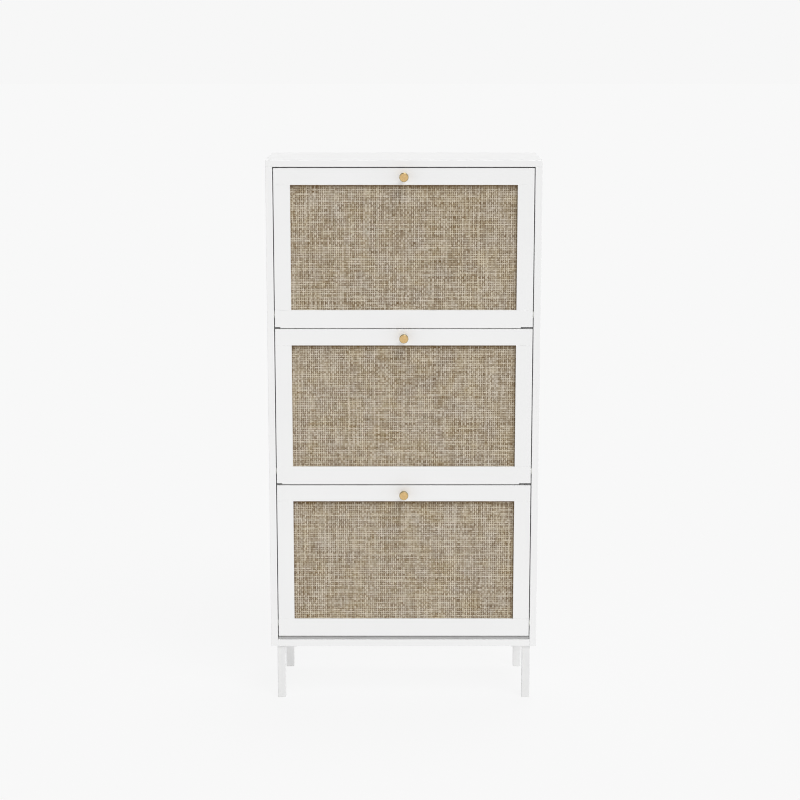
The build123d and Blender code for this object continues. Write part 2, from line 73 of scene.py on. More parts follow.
# The range that a noise node's values usually stay within.
NOISE_RANGE = (0.3, 0.7)
# The last sample's place, counted back from the number of knots: just short of the last knot.
LAST_KNOT = 1.001

Colour = tuple[float, float, float]
Point = tuple[float, float, float]


class FlapName(Enum):
    """The three flaps, from the top down."""

    UPPER = "upper"
    MIDDLE = "middle"
    LOWER = "lower"

    @property
    def body(self) -> str:
        """The CAD body that this flap's pieces ride on."""
        return f"{self.value}_flap"


class Thread(Enum):
    """The two sets of threads of a plain weave."""

    WARP = "warp"
    WEFT = "weft"


class Slot(Enum):
    """The record's material slots."""

    LACQUER = "white_lacquer"
    BACK_BOARD = "white_back_board"
    TRAY_BOARD = "white_tray_board"
    BROWN_BOARD = "brown_board"
    CLOTH = "woven_cloth"
    BRASS = "brass"
    WHITE_STEEL = "white_steel"
    ZINC_STEEL = "zinc_steel"
    ZINC_CASTING = "zinc_casting"
    WHITE_PLASTIC = "white_plastic"
    NYLON = "nylon"
    GREY_PLASTIC = "grey_plastic"


# Node trees and meshes.


class ShaderSheet:
    """A material's node tree, with short ways to add and join nodes."""

    def __init__(self, name: str) -> None:
        """Starts a material with one Principled shader.

        Args:
            name: The material's name.
        """
        self.material = bpy.data.materials.new(name)
        self.material.use_nodes = True
        self.tree = self.material.node_tree
        self.surface = self.tree.nodes["Principled BSDF"]

    def add(self, kind: str, **inputs: object) -> bpy.types.Node:
        """Adds a node.

        Args:
            kind: The node's type, without its ShaderNode prefix.
            inputs: Values or sockets for its inputs, by name with _ for a space.

        Returns:
            The new node.
        """
        node = self.tree.nodes.new(f"ShaderNode{kind}")
        for name, value in inputs.items():
            self.put(node.inputs[name.replace("_", " ")], value)
        return node

    def put(self, socket: bpy.types.NodeSocket, value: object) -> None:
        """Links a socket to another socket, or sets its value.

        Args:
            socket: The input to fill.
            value: The socket or the plain value that fills it.
        """
        if isinstance(value, bpy.types.NodeSocket):
            self.tree.links.new(value, socket)
        else:
            socket.default_value = value

    def place(
        self, scale: Point = (1, 1, 1), centre: Point = (0, 0, 0)
    ) -> bpy.types.NodeSocket:
        """Object coordinates counted from a centre and multiplied by a scale.

        Args:
            scale: The factor on each axis.
            centre: The point that becomes 0.

        Returns:
            The coordinates.
        """
        coordinates = self.add("TexCoord").outputs["Object"]
        offset = tuple(-c * s for c, s in zip(centre, scale))
        mapping = self.add("Mapping", Vector=coordinates, Location=offset, Scale=scale)
        return mapping.outputs["Vector"]

    def noise(
        self,
        vector: bpy.types.NodeSocket,
        scale: float,
        detail: float = 3.0,
        roughness: float = 0.5,
    ) -> bpy.types.NodeSocket:
        """Noise around 0.5.

        Args:
            vector: Where the noise is read.
            scale: Its coarsest features per metre of that vector.
            detail: How many finer octaves it has.
            roughness: How strong the finer octaves are.

        Returns:
            The noise's value.
        """
        node = self.add(
            "TexNoise", Vector=vector, Scale=scale, Detail=detail, Roughness=roughness
        )
        return node.outputs["Fac"]

    def spread(
        self, value: bpy.types.NodeSocket, low: float, high: float
    ) -> bpy.types.NodeSocket:
        """Stretches a noise's usual range to run between two values.

        Args:
            value: The noise.
            low: What the low end of its usual range becomes.
            high: What the high end of its usual range becomes.

        Returns:
            The stretched value.
        """
        start, end = NOISE_RANGE
        node = self.add(
            "MapRange", Value=value, From_Min=start, From_Max=end, To_Min=low, To_Max=high
        )
        return node.outputs["Result"]

    def arithmetic(
        self, operation: str, first: object, second: object
    ) -> bpy.types.NodeSocket:
        """One Math node.

        Args:
            operation: What it does, in Blender's word.
            first: Its first socket or value.
            second: Its second socket or value.

        Returns:
            Its result.
        """
        node = self.add("Math")
        node.operation = operation
        self.put(node.inputs[0], first)
        self.put(node.inputs[1], second)
        return node.outputs["Value"]

    def ramp(
        self, value: bpy.types.NodeSocket, stops: tuple[tuple[float, Colour], ...]
    ) -> bpy.types.NodeSocket:
        """A colour that changes with a value.

        Args:
            value: What the colour follows.
            stops: Positions and the colours there, in rising order.

        Returns:
            The colour.
        """
        node = self.add("ValToRGB", Fac=value)
        elements = node.color_ramp.elements
        while len(elements) < len(stops):
            elements.new(0.5)
        for element, (position, colour) in zip(elements, stops):
            element.position = position
            element.color = (*colour, 1.0)
        return node.outputs["Color"]

    def bump(
        self,
        height: bpy.types.NodeSocket,
        distance: float,
        strength: float = 1.0,
        under: bpy.types.NodeSocket | None = None,
    ) -> bpy.types.NodeSocket:
        """A bumped normal.

        Args:
            height: The height pattern, from 0 to 1.
            distance: How high 1 stands, in metres.
            strength: How much of the bump shows.
            under: A normal that this bump is added to.

        Returns:
            The normal.
        """
        node = self.add("Bump", Height=height, Distance=distance, Strength=strength)
        if under is not None:
            self.put(node.inputs["Normal"], under)
        return node.outputs["Normal"]

    def finish(self, **inputs: object) -> bpy.types.Material:
        """Sets or links the Principled shader's inputs.

        Args:
            inputs: Values or sockets, by name with _ for a space.

        Returns:
            The finished material.
        """
        for name, value in inputs.items():
            self.put(self.surface.inputs[name.replace("_", " ")], value)
        return self.material


def mesh_object(
    name: str, points: np.ndarray, quads: np.ndarray, smooth: bool = True
) -> bpy.types.Object:
    """Makes a mesh object in the scene.

    Args:
        name: The object's name.
        points: The vertices, one row each, in metres.
        quads: Four vertex indices for each face, counter-clockwise seen from outside.
        smooth: Whether the faces are shaded smooth.

    Returns:
        The new object, at the origin.
    """
    mesh = bpy.data.meshes.new(name)
    mesh.vertices.add(len(points))
    mesh.vertices.foreach_set("co", points.astype(np.float32).ravel())
    mesh.loops.add(quads.size)
    mesh.loops.foreach_set("vertex_index", quads.astype(np.int32).ravel())
    mesh.polygons.add(len(quads))
    mesh.polygons.foreach_set("loop_start", np.arange(0, quads.size, 4, dtype=np.int32))
    mesh.polygons.foreach_set("use_smooth", np.full(len(quads), smooth))
    mesh.update(calc_edges=True)
    mesh.validate()
    piece = bpy.data.objects.new(name, mesh)
    bpy.context.scene.collection.objects.link(piece)
    return piece


def strip_quads(strips: int, along: int, across: int) -> np.ndarray:
    """Faces of separate grids of vertices.

    Vertex (k, i, j) has index (k * along + i) * across + j, and each face joins (i, j),
    (i, j + 1), (i + 1, j + 1) and (i + 1, j) of one strip.

    Args:
        strips: How many grids there are.
        along: Vertices along each grid.
        across: Vertices across each grid.

    Returns:
        Four vertex indices for each face.
    """
    k = np.arange(strips)[:, None, None]
    i = np.arange(along - 1)[None, :, None]
    j = np.arange(across - 1)[None, None, :]
    first = (k * along + i) * across + j
    return np.stack([first, first + 1, first + across + 1, first + across], -1).reshape(-1, 4)


def smooth_noise(
    rng: np.random.Generator, threads: int, samples: int, knots: int
) -> np.ndarray:
    """Smooth random curves, one for each thread.

    Normal random values stand at evenly spaced knots. Between two knots the curve is their
    mean weighted by a smooth step of the distance from each. It stops just short of the last
    knot, so every sample has a knot on both sides.

    Args:
        rng: The source of random values.
        threads: How many curves to make.
        samples: Points on each curve.
        knots: Random values on each curve.

    Returns:
        An array of threads by samples, with a mean near 0 and a spread below 1.
    """
    values = rng.normal(size=(threads, knots))
    at = np.linspace(0, knots - LAST_KNOT, samples)
    low = at.astype(int)
    share = at - low
    share = share * share * (3 - 2 * share)
    return values[:, low] * (1 - share) + values[:, low + 1] * share


def dress(piece: bpy.types.Object, material: bpy.types.Material) -> None:
    """Puts one material in every material slot of a piece."""
    for slot in piece.material_slots:
        slot.material = material


# Finishes.


@dataclass(frozen=True)
class BoardFinish:
    """A white sprayed or melamine board: nearly even, with a faint mottle and orange peel.

    mottle, haze and peel are the scales, in features per metre, of the noise in its colour,
    its roughness and its relief.
    """

    name: str
    light: Colour
    shade: Colour
    roughness: tuple[float, float] = (0.36, 0.46)
    mottle: float = 7.0
    haze: float = 60.0
    peel: float = 420.0
    peel_height: float = 0.06 * MM
    coat: float = 0.0
    coat_roughness: float = 0.25

    def material(self) -> bpy.types.Material:
        """Makes the finish on Object coordinates.

        Returns:
            The material.
        """
        sheet = ShaderSheet(self.name)
        where = sheet.place()
        mottle = sheet.noise(where, self.mottle, detail=5.0, roughness=0.55)
        haze = sheet.noise(where, self.haze, detail=4.0)
        peel = sheet.noise(where, self.peel, detail=2.0)
        return sheet.finish(
            Base_Color=sheet.ramp(mottle, tuple(zip(NOISE_RANGE, (self.shade, self.light)))),
            Roughness=sheet.spread(haze, *self.roughness),
            Normal=sheet.bump(peel, self.peel_height),
            Coat_Weight=self.coat,
            Coat_Roughness=self.coat_roughness,
        )


@dataclass(frozen=True)
class GrainedBoard:
    """A brown plywood board with its grain along X.

    grain and fibre are the scales of its coarse and fine noise along X, and each squeeze is
    how many times closer that noise is across the grain. grain_share is the coarse noise's
    part of the mix.
    """

    name: str
    dark: Colour
    light: Colour
    grain: float = 14.0
    grain_squeeze: float = 14.0
    fibre: float = 40.0
    fibre_squeeze: float = 40.0
    grain_share: float = 0.7
    colour_range: tuple[float, float] = (0.32, 0.68)
    roughness: tuple[float, float] = (0.55, 0.75)
    relief: float = 0.2 * MM

    def material(self) -> bpy.types.Material:
        """Makes the finish on Object coordinates squeezed across the grain.

        Returns:
            The material.
        """
        sheet = ShaderSheet(self.name)
        broad = sheet.place(scale=(1.0, self.grain_squeeze, self.grain_squeeze))
        narrow = sheet.place(scale=(1.0, self.fibre_squeeze, self.fibre_squeeze))
        grain = sheet.noise(broad, self.grain, detail=8.0, roughness=0.6)
        fibre = sheet.noise(narrow, self.fibre, detail=4.0)
        coarse = sheet.arithmetic("MULTIPLY", grain, self.grain_share)
        fine = sheet.arithmetic("MULTIPLY", fibre, 1.0 - self.grain_share)
        both = sheet.arithmetic("ADD", coarse, fine)
        return sheet.finish(
            Base_Color=sheet.ramp(both, tuple(zip(self.colour_range, (self.dark, self.light)))),
            Roughness=sheet.spread(fibre, *self.roughness),
            Normal=sheet.bump(both, self.relief),
        )


@dataclass(frozen=True)
class ThreadFinish:
    """Dyed plant-fibre threads, whose tone attribute runs from brown to cream.

    The tone attribute also carries painted shade at the threads' dips and edges and a painted
    shadow of the frame's top and right-hand lips. The colour is tan at the tone tan_at.
    fibre_stretch scales the UV map for the noise of the fibres, and fleck is how far that
    noise moves the tone. twist and twist_angle are the scale and the slant, in degrees, of the
    ridges of the thread's twist. cloud is the scale of the changes in hue and saturation.
    """

    name: str
    brown: Colour = (0.165, 0.104, 0.048)
    tan: Colour = (0.375, 0.302, 0.208)
    cream: Colour = (0.700, 0.628, 0.510)
    tan_at: float = 0.45
    fibre_stretch: Point = (260.0, 2600.0, 1.0)
    fleck: float = 0.42
    twist: float = 900.0
    twist_angle: float = 24.0
    cloud: float = 26.0
    hue: tuple[float, float] = (0.497, 0.503)
    saturation: tuple[float, float] = (0.84, 1.16)
    roughness: tuple[float, float] = (0.72, 0.92)
    twist_relief: float = 0.12 * MM
    fibre_relief: float = 0.15 * MM

    def colour(
        self, sheet: ShaderSheet, fibre: bpy.types.NodeSocket
    ) -> bpy.types.NodeSocket:
        """The thread's colour: its tone with fine flecks, then wide soft clouds of hue.

        Args:
            sheet: The material's node tree.
            fibre: The noise of the fibres, around 0.5.

        Returns:
            The colour.
        """
        # This tone attribute holds painted shade and a painted lip shadow besides the threads'
        # own tone.
        tone = sheet.add("Attribute")
        tone.attribute_name = "tone"
        about_zero = sheet.arithmetic("SUBTRACT", fibre, 0.5)
        fleck = sheet.arithmetic("MULTIPLY", about_zero, self.fleck)
        lit = sheet.arithmetic("ADD", tone.outputs["Fac"], fleck)
        plain = sheet.ramp(lit, ((0.0, self.brown), (self.tan_at, self.tan), (1.0, self.cream)))
        cloud = sheet.noise(sheet.place(), self.cloud, detail=3.0, roughness=0.6)
        clouded = sheet.add(
            "HueSaturation",
            Color=plain,
            Hue=sheet.spread(cloud, *self.hue),
            Saturation=sheet.spread(cloud, *self.saturation),
        )
        return clouded.outputs["Color"]

    def material(self) -> bpy.types.Material:
        """Makes the finish on the threads' UV map and tone attribute.

        Returns:
            The material.
        """
        sheet = ShaderSheet(self.name)
        uv = sheet.add("UVMap").outputs["UV"]
        stretched = sheet.add("Mapping", Vector=uv, Scale=self.fibre_stretch)
        fibre = sheet.noise(stretched.outputs["Vector"], 1.0, detail=4.0, roughness=0.65)
        slant = (0.0, 0.0, math.radians(self.twist_angle))
        turned = sheet.add("Mapping", Vector=uv, Rotation=slant).outputs["Vector"]
        strand = sheet.add("TexWave", Vector=turned, Scale=self.twist, Distortion=3.0, Detail=2.0)
        twisted = sheet.bump(strand.outputs["Fac"], self.twist_relief, strength=0.6)
        return sheet.finish(
            Base_Color=self.colour(sheet, fibre),
            Roughness=sheet.spread(fibre, *self.roughness),
            Normal=sheet.bump(fibre, self.fibre_relief, strength=0.8, under=twisted),
            Specular_IOR_Level=0.25,
            Sheen_Weight=0.12,
            Sheen_Roughness=0.5,
        )


@dataclass(frozen=True)
class TurnedBrass:
    """Satin brass with fine turning rings about an axis along Y and a darker rim.

    The rim's darker colour is a painted dark reflection of the rounded rim; it comes in between
    the radii rim_start and rim_end. ring and haze are the scales of the turning rings and of
    the cloudy changes in colour and roughness.
    """

    name: str
    centre: Point
    light: Colour = (0.790, 0.560, 0.270)
    dark: Colour = (0.640, 0.425, 0.185)
    # Painted dark reflection of the rounded rim, put into the base colour.
    painted_rim_reflection: Colour = (0.440, 0.365, 0.200)
    rim_start: float = 8.2 * MM
    rim_end: float = 9.4 * MM
    ring: float = 420.0
    ring_relief: float = 0.02 * MM
    haze: float = 240.0
    haze_range: tuple[float, float] = (0.32, 0.68)
    roughness: tuple[float, float] = (0.26, 0.42)

    def painted_reflection_share(self, sheet: ShaderSheet) -> bpy.types.NodeSocket:
        """How much of the rim's colour shows, by the distance from the axis.

        Args:
            sheet: The material's node tree.

        Returns:
            A share from 0 at rim_start to 1 at rim_end.
        """
        radius = sheet.add("VectorMath")
        radius.operation = "LENGTH"
        sheet.put(radius.inputs[0], sheet.place(scale=(1.0, 0.0, 1.0), centre=self.centre))
        share = sheet.add(
            "MapRange",
            Value=radius.outputs["Value"],
            From_Min=self.rim_start,
            From_Max=self.rim_end,
        )
        return share.outputs["Result"]

    def material(self) -> bpy.types.Material:
        """Makes the finish on Object coordinates counted from the knob's axis.

        Returns:
            The material.
        """
        sheet = ShaderSheet(self.name)
        where = sheet.place(centre=self.centre)
        rings = sheet.add("TexWave", Vector=where, Scale=self.ring, Distortion=0.6, Detail=2.0)
        rings.wave_type = "RINGS"
        rings.rings_direction = "Y"
        haze = sheet.noise(where, self.haze, detail=5.0, roughness=0.6)
        face = sheet.ramp(haze, tuple(zip(self.haze_range, (self.dark, self.light))))
        # Painted dark reflection: the base colour turns to the rim's colour towards the rim.
        with_painted_reflection = sheet.add(
            "MixRGB", Fac=self.painted_reflection_share(sheet), Color1=face, Color2=(*self.painted_rim_reflection, 1.0)
        )
        return sheet.finish(
            Base_Color=with_painted_reflection.outputs["Color"],
            Metallic=1.0,
            Roughness=sheet.spread(haze, *self.roughness),
            Normal=sheet.bump(rings.outputs["Fac"], self.ring_relief, strength=0.5),
        )


@dataclass(frozen=True)
class PlatedMetal:
    """Bare or plated metal with a fine haze and scratches along X.

    haze and scratch are the scales of their noise, and scratch_stretch squeezes the scratches
    across their length.
    """

    name: str
    light: Colour
    dark: Colour
    roughness: tuple[float, float] = (0.28, 0.45)
    haze: float = 300.0
    scratch: float = 4.0
    scratch_stretch: Point = (60.0, 900.0, 900.0)
    scratch_relief: float = 0.02 * MM

    def material(self) -> bpy.types.Material:
        """Makes the finish on Object coordinates.

        Returns:
            The material.
        """
        sheet = ShaderSheet(self.name)
        haze = sheet.noise(sheet.place(), self.haze, detail=5.0, roughness=0.6)
        drawn = sheet.noise(sheet.place(scale=self.scratch_stretch), self.scratch, detail=3.0)
        return sheet.finish(
            Base_Color=sheet.ramp(haze, tuple(zip(NOISE_RANGE, (self.dark, self.light)))),
            Metallic=1.0,
            Roughness=sheet.spread(haze, *self.roughness),
            Normal=sheet.bump(drawn, self.scratch_relief, strength=0.4),
        )


@dataclass(frozen=True)
class GrainyCoat:
    """Powder coat or moulded plastic: one colour with a fine even grain.

    cloud and grain are the scales, in features per metre, of the noise in its colour and in
    its relief, and height is how high the relief stands.
    """

    name: str
    light: Colour
    shade: Colour
    cloud: float = 35.0
    grain: float = 900.0
    height: float = 0.04 * MM
    roughness: tuple[float, float] = (0.42, 0.55)

    def material(self) -> bpy.types.Material:
        """Makes the finish on Object coordinates.

        Returns:
            The material.
        """
        sheet = ShaderSheet(self.name)
        where = sheet.place()
        cloud = sheet.noise(where, self.cloud, detail=4.0)
        grain = sheet.noise(where, self.grain, detail=2.0)
        return sheet.finish(
            Base_Color=sheet.ramp(cloud, tuple(zip(NOISE_RANGE, (self.shade, self.light)))),
            Roughness=sheet.spread(grain, *self.roughness),
            Normal=sheet.bump(grain, self.height, strength=0.6),
        )


Finish = BoardFinish | GrainedBoard | PlatedMetal | GrainyCoat


# Sub-assemblies.


@dataclass
class Dressing:
    """The finishes of every CAD node, by the record's material slot."""

    finishes: dict[Slot, Finish] = field(
        default_factory=lambda: {
            Slot.LACQUER: BoardFinish(
                "White_Lacquer", (0.882, 0.882, 0.881), (0.866, 0.866, 0.864), coat=0.15
            ),
            Slot.BACK_BOARD: BoardFinish(
                "White_Hardboard",
                (0.835, 0.835, 0.830),
                (0.785, 0.784, 0.775),
                roughness=(0.50, 0.66),
                mottle=22.0,
                peel=700.0,
                peel_height=0.12 * MM,
            ),
            Slot.TRAY_BOARD: BoardFinish(
                "White_Melamine",
                (0.855, 0.855, 0.850),
                (0.825, 0.825, 0.818),
                roughness=(0.30, 0.42),
                peel=650.0,
            ),
            Slot.BROWN_BOARD: GrainedBoard(
                "Brown_Plywood", (0.125, 0.082, 0.045), (0.260, 0.180, 0.105)
            ),
            Slot.WHITE_STEEL: GrainyCoat(
                "White_Powder_Coat", (0.815, 0.815, 0.813), (0.790, 0.790, 0.787), grain=1400.0
            ),
            Slot.ZINC_STEEL: PlatedMetal(
                "Zinc_Plated_Steel", (0.70, 0.71, 0.73), (0.56, 0.57, 0.58)
            ),
            Slot.ZINC_CASTING: PlatedMetal(
                "Zinc_Casting", (0.56, 0.56, 0.57), (0.40, 0.40, 0.41), roughness=(0.42, 0.60)
            ),
            Slot.WHITE_PLASTIC: GrainyCoat(
                "Moulded_White_Plastic", (0.820, 0.820, 0.812), (0.795, 0.795, 0.785)
            ),
            Slot.NYLON: GrainyCoat("Nylon", (0.78, 0.78, 0.74), (0.72, 0.72, 0.67)),
            Slot.GREY_PLASTIC: GrainyCoat(
                "Pale_Plastic", (0.80, 0.80, 0.795), (0.76, 0.76, 0.755)
            ),
        }
    )

    def dress(self, nodes: dict[str, bpy.types.Object], slots: dict[str, str]) -> None:
        """Gives every CAD node but the cloths and knobs the finish of its slot.

        Args:
            nodes: The CAD nodes' objects, by name.
            slots: Each node's material slot, by the node's name.
        """
        made = {slot.value: finish.material() for slot, finish in self.finishes.items()}
        for name, piece in nodes.items():
            if slots[name] in made:
                dress(piece, made[slots[name]])
                LOG.info("dressed %s in %s", name, slots[name])


@dataclass
class Knob:
    """One flap's turned brass knob, which is the CAD node itself in its own finish."""

    flap: FlapName

    def dress(self, nodes: dict[str, bpy.types.Object]) -> None:
        """Dresses the knob in brass whose rings are centred on its axis.

        Args:
            nodes: The CAD nodes' objects, by name.
        """
        node = f"{self.flap.value}_knob"
        low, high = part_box(node)
        centre = tuple((a + b) / 2 for a, b in zip(low, high))
        dress(nodes[node], TurnedBrass(f"Satin_Brass_{self.flap.value}", centre).material())
        LOG.info("dressed %s in turned brass", node)


@dataclass(frozen=True)
class ThreadSet:
    """One set of a weave's threads.

    pitch is the distance between threads and cover is the share of it that a thread hides.
    tone is the middle tone, from 0 for brown to 1 for cream. The rest are the sizes of the
    random changes about it: own for each whole thread, and slow, short and fleck along it.
    """

    pitch: float
    cover: float
    tone: float
    own: float
    slow: float
    short: float
    fleck: float


@dataclass(frozen=True)
class Wave:
    """A smooth random change along threads, with one knot for every spacing samples."""

    spacing: int
    fewest: int

    def draw(self, rng: np.random.Generator, threads: int, samples: int) -> np.ndarray:
        """Draws one curve for each thread, with no fewer knots than fewest."""
        return smooth_noise(rng, threads, samples, max(self.fewest, samples // self.spacing))


@dataclass
class WovenCloth:
    """The woven panel of one flap: a plain weave of flat plant-fibre threads.

    Each thread is a low arched ribbon. It rises over one crossing thread and dips under the
    next, so the weave is real relief with small gaps that show the board behind.

    lift is how far a thread rises from under to over, and arch how far its middle stands
    above its edges. pairing and jitter move threads by parts of their distance. wander and
    slub are the sizes of a thread's sideways drift and of its changes in width, and the waves
    say how quickly each change comes and goes. The shades are drops in tone: painted shade
    at a thread's edges and where it dips, and a painted shadow near the top and right-hand
    lips, which fades over its reach. lip_overlap is how far the cloth runs on behind the lips.
    """

    flap: FlapName
    seed: int
    sets: dict[Thread, ThreadSet] = field(
        default_factory=lambda: {
            Thread.WARP: ThreadSet(
                pitch=4.59 * MM,
                cover=0.66,
                tone=0.815,
                own=0.045,
                slow=0.04,
                short=0.10,
                fleck=0.15,
            ),
            Thread.WEFT: ThreadSet(
                pitch=5.10 * MM,
                cover=0.62,
                tone=0.740,
                own=0.045,
                slow=0.06,
                short=0.12,
                fleck=0.15,
            ),
        }
    )
    wander_wave: Wave = Wave(spacing=24, fewest=4)
    slub_wave: Wave = Wave(spacing=12, fewest=5)
    slow_wave: Wave = Wave(spacing=40, fewest=4)
    short_wave: Wave = Wave(spacing=12, fewest=6)
    fleck_wave: Wave = Wave(spacing=2, fewest=6)
    lift: float = 0.60 * MM
    arch: float = 0.42 * MM
    pairing: float = 0.03
    jitter: float = 0.07
    wander: float = 0.22 * MM
    slub: float = 0.16
    width_range: tuple[float, float] = (0.7, 1.3)
    off_board: float = 0.02 * MM
    darkest: float = 0.02
    # Painted shade: the tone is darkened towards each thread's edges and where it dips under a
    # crossing thread.
    edge_painted_shade: float = 0.26
    edge_power: int = 4
    dip_painted_shade: float = 0.30
    lip_overlap: float = 7.7 * MM
    # Painted shadow of the top and right-hand lips: the tone is darkened near them, fading over
    # each reach.
    top_lip_painted_shadow: float = 0.85
    top_lip_shadow_reach: float = 4.2 * MM
    side_lip_painted_shadow: float = 0.40
    side_lip_shadow_reach: float = 3.5 * MM
    uv_step: float = 0.37
    arch_profile: tuple[tuple[float, float], ...] = (
        (-1.0, 0.0),
        (-0.5, 0.92),
        (0.5, 0.92),
        (1.0, 0.0),
    )

    def centres(
        self, low: float, high: float, pitch: float, rng: np.random.Generator
    ) -> np.ndarray:
        """Places of parallel threads.

        They are evenly spaced, shifted towards each other in pairs by pairing pitches and
        apart by a small random step.

        Args:
            low: Where the cloth begins.
            high: Where the cloth ends.
            pitch: The wanted distance between threads.
            rng: The source of random steps.

        Returns:
            One place for each thread.
        """
        count = round((high - low) / pitch)
        step = (high - low) / count
        index = np.arange(count)
        pair = np.where(index % 2 == 0, 1.0, -1.0) * self.pairing
        return low + step * (index + 0.5 + pair + rng.normal(0, self.jitter, count))

    def tones(
        self, thread: Thread, rng: np.random.Generator, threads: int, samples: int
    ) -> np.ndarray:
        """The tone, from 0 for brown to 1 for cream, along every thread.

        It is a middle tone, plus one random step for each thread, plus streaks along the
        thread in three lengths, from long ones to ones as short as a crossing.

        Args:
            thread: Which set of threads it is.
            rng: The source of random values.
            threads: How many threads there are.
            samples: Points along each thread.

        Returns:
            An array of threads by samples.
        """
        kind = self.sets[thread]
        tone = kind.tone + kind.own * rng.normal(size=(threads, 1))
        tone = tone + kind.slow * self.slow_wave.draw(rng, threads, samples)
        tone = tone + kind.short * self.short_wave.draw(rng, threads, samples)
        tone = tone + kind.fleck * self.fleck_wave.draw(rng, threads, samples)
        return np.clip(tone, self.darkest, 1.0)

    def ribbons(
        self,
        thread: Thread,
        places: np.ndarray,
        crossings: np.ndarray,
        ends: tuple[float, float],
        corner: Point,
        rng: np.random.Generator,
    ) -> tuple[np.ndarray, np.ndarray, np.ndarray]:
        """One set of threads.

        A thread is sampled at each crossing and halfway between crossings. There it stands
        off the board by lift where it passes over, by 0 where it passes under and by half
        of lift between. Across, it follows the arch profile. Its place wanders sideways and
        its width swells by smooth random curves. Painted shade darkens its tone where it dips
        and towards its own edges, and a painted shadow of the top and right-hand lips of the
        frame darkens it by an amount that dies away with the distance from the lip.

        Args:
            thread: Which set of threads to make.
            places: Where each thread lies, across the set.
            crossings: Where the other set's threads lie, along these threads.
            ends: Where these threads begin and end.
            corner: The cloth's right-hand top corner, at the board behind it.
            rng: The source of random values.

        Returns:
            The points as threads by samples by profile points by 3, their UVs likewise by 2,
            and the tone of every point, with the painted shade and painted lip shadow in it.
        """
        middles = (crossings[1:] + crossings[:-1]) / 2
        along = np.empty(2 * len(crossings) + 1)
        along[1::2] = crossings
        along[2:-1:2] = middles
        along[0], along[-1] = ends
        count, samples = len(places), len(along)

        parity = 0 if thread is Thread.WARP else 1
        over = (np.arange(count)[:, None] + np.arange(len(crossings))[None, :] + parity) % 2
        stand = np.full((count, samples), 0.5)
        stand[:, 1::2] = over
        middle = places[:, None] + self.wander * self.wander_wave.draw(rng, count, samples)
        width = 1 + self.slub * self.slub_wave.draw(rng, count, samples)
        kind = self.sets[thread]
        half = kind.pitch * kind.cover / 2 * np.clip(width, *self.width_range)

        side, rise = np.array(self.arch_profile).T
        across = middle[..., None] + half[..., None] * side
        out = self.off_board + self.lift * stand[..., None] + self.arch * rise
        run = np.broadcast_to(along[None, :, None], across.shape)
        y = corner[1] - np.broadcast_to(out, across.shape)
        axes = (across, y, run) if thread is Thread.WARP else (run, y, across)
        points = np.stack(axes, -1)
        # Painted shade: darker where a thread dips under and towards its own edges.
        tone = self.tones(thread, rng, count, samples) - self.dip_painted_shade * (1 - stand)
        tone = tone[..., None] - self.edge_painted_shade * np.abs(side) ** self.edge_power
        # Painted shadow of the top and right-hand lips, fading with the distance from where the
        # lips' overlap ends.
        lip_shadow_distance = np.maximum(np.array(corner) - self.lip_overlap - points, 0.0)
        tone = tone - self.side_lip_painted_shadow * np.exp(-lip_shadow_distance[..., 0] / self.side_lip_shadow_reach)
        tone = tone - self.top_lip_painted_shadow * np.exp(-lip_shadow_distance[..., 2] / self.top_lip_shadow_reach)
        shift = (np.arange(count) * self.uv_step)[:, None, None]
        uvs = np.stack([run + shift, across - middle[..., None] + shift], -1)
        return points, uvs, tone

    def build(self) -> bpy.types.Object:
        """Returns:
            The cloth's object.
        """
        node = f"{self.flap.value}_woven_panel"
        low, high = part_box(node)
        rng = np.random.default_rng(self.seed)
        warps = self.centres(low[0], high[0], self.sets[Thread.WARP].pitch, rng)
        wefts = self.centres(low[2], high[2], self.sets[Thread.WEFT].pitch, rng)
        parts = [
            (thread, *self.ribbons(thread, places, crossings, ends, high, rng))
            for thread, places, crossings, ends in (
                (Thread.WARP, warps, wefts, (low[2], high[2])),
                (Thread.WEFT, wefts, warps, (low[0], high[0])),
            )
        ]
        points, uvs, tones, quads, start = [], [], [], [], 0
        for thread, place, uv, tone in parts:
            faces = strip_quads(*place.shape[:3])
            if thread is Thread.WEFT:
                faces = faces[:, ::-1]
            quads.append(faces + start)
            points.append(place.reshape(-1, 3))
            uvs.append(uv.reshape(-1, 2))
            tones.append(tone.reshape(-1))
            start += len(points[-1])
        cloth = mesh_object(
            f"{self.flap.value}_woven_cloth", np.concatenate(points), np.concatenate(quads)
        )
        self.write_layers(cloth.data, np.concatenate(uvs), np.concatenate(tones))
        finish = ThreadFinish(f"Plant_Fibre_Thread_{self.flap.value}")
        cloth.data.materials.append(finish.material())
        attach(cloth, self.flap.body)
        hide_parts(node)
        LOG.info("wove %s from %d warps and %d wefts", cloth.name, len(warps), len(wefts))
        return cloth

    @staticmethod
    def write_layers(mesh: bpy.types.Mesh, uvs: np.ndarray, tones: np.ndarray) -> None:
        """Writes the UV map and the tone attribute of a cloth's mesh.

        Args:
            mesh: The cloth's mesh.
            uvs: The UVs of every vertex, one row each.
            tones: The tone of every vertex.
        """
        corners = np.empty(len(mesh.loops), np.int32)
        mesh.loops.foreach_get("vertex_index", corners)
        layer = mesh.uv_layers.new(name="UVMap")
        layer.uv.foreach_set("vector", uvs[corners].astype(np.float32).ravel())
        # The tone attribute holds painted shade and a painted lip shadow as well as the threads'
        # own tone.
        tone = mesh.attributes.new("tone", "FLOAT", "POINT")
        tone.data.foreach_set("value", tones.astype(np.float32))


